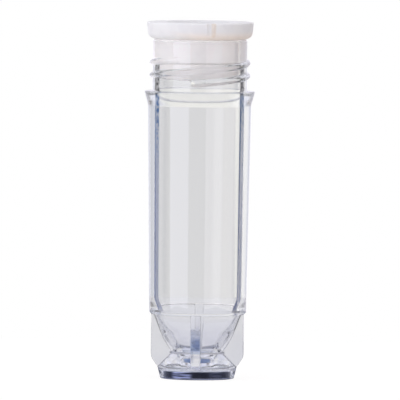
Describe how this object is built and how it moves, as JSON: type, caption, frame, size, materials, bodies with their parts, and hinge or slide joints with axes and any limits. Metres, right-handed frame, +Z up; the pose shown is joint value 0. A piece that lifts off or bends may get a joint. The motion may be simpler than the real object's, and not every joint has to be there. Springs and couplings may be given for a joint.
{
  "type": "cryovial",
  "caption": "Clear rack-format cryovial with a screw-thread neck, conical well, finned base, dark code disc in its foot and a soft white push-in stopper.",
  "frame": {"origin": "centre of the foot, on the plane that the vial stands on", "axes": "+Z up along the bore axis to the stopper; -Y is the front, where one fin and the lower end of a thread ridge face"},
  "size_m": [0.0088, 0.0088, 0.0284],
  "materials": {
    "clear_polymer": "clear moulded polypropylene, polished bore and outside",
    "dark_disc": "dark navy opaque plastic, satin",
    "white_elastomer": "soft white thermoplastic elastomer, satin"
  },
  "bodies": {
    "vial": {"vial": "clear_polymer", "code_disc": "dark_disc"},
    "stopper": {"stopper": "white_elastomer"}
  },
  "joints": [
    {"name": "stopper_pull", "type": "slide", "parent": "vial", "child": "stopper", "axis": [0, 0, 1], "range_m": [0, 0.012]}
  ]
}
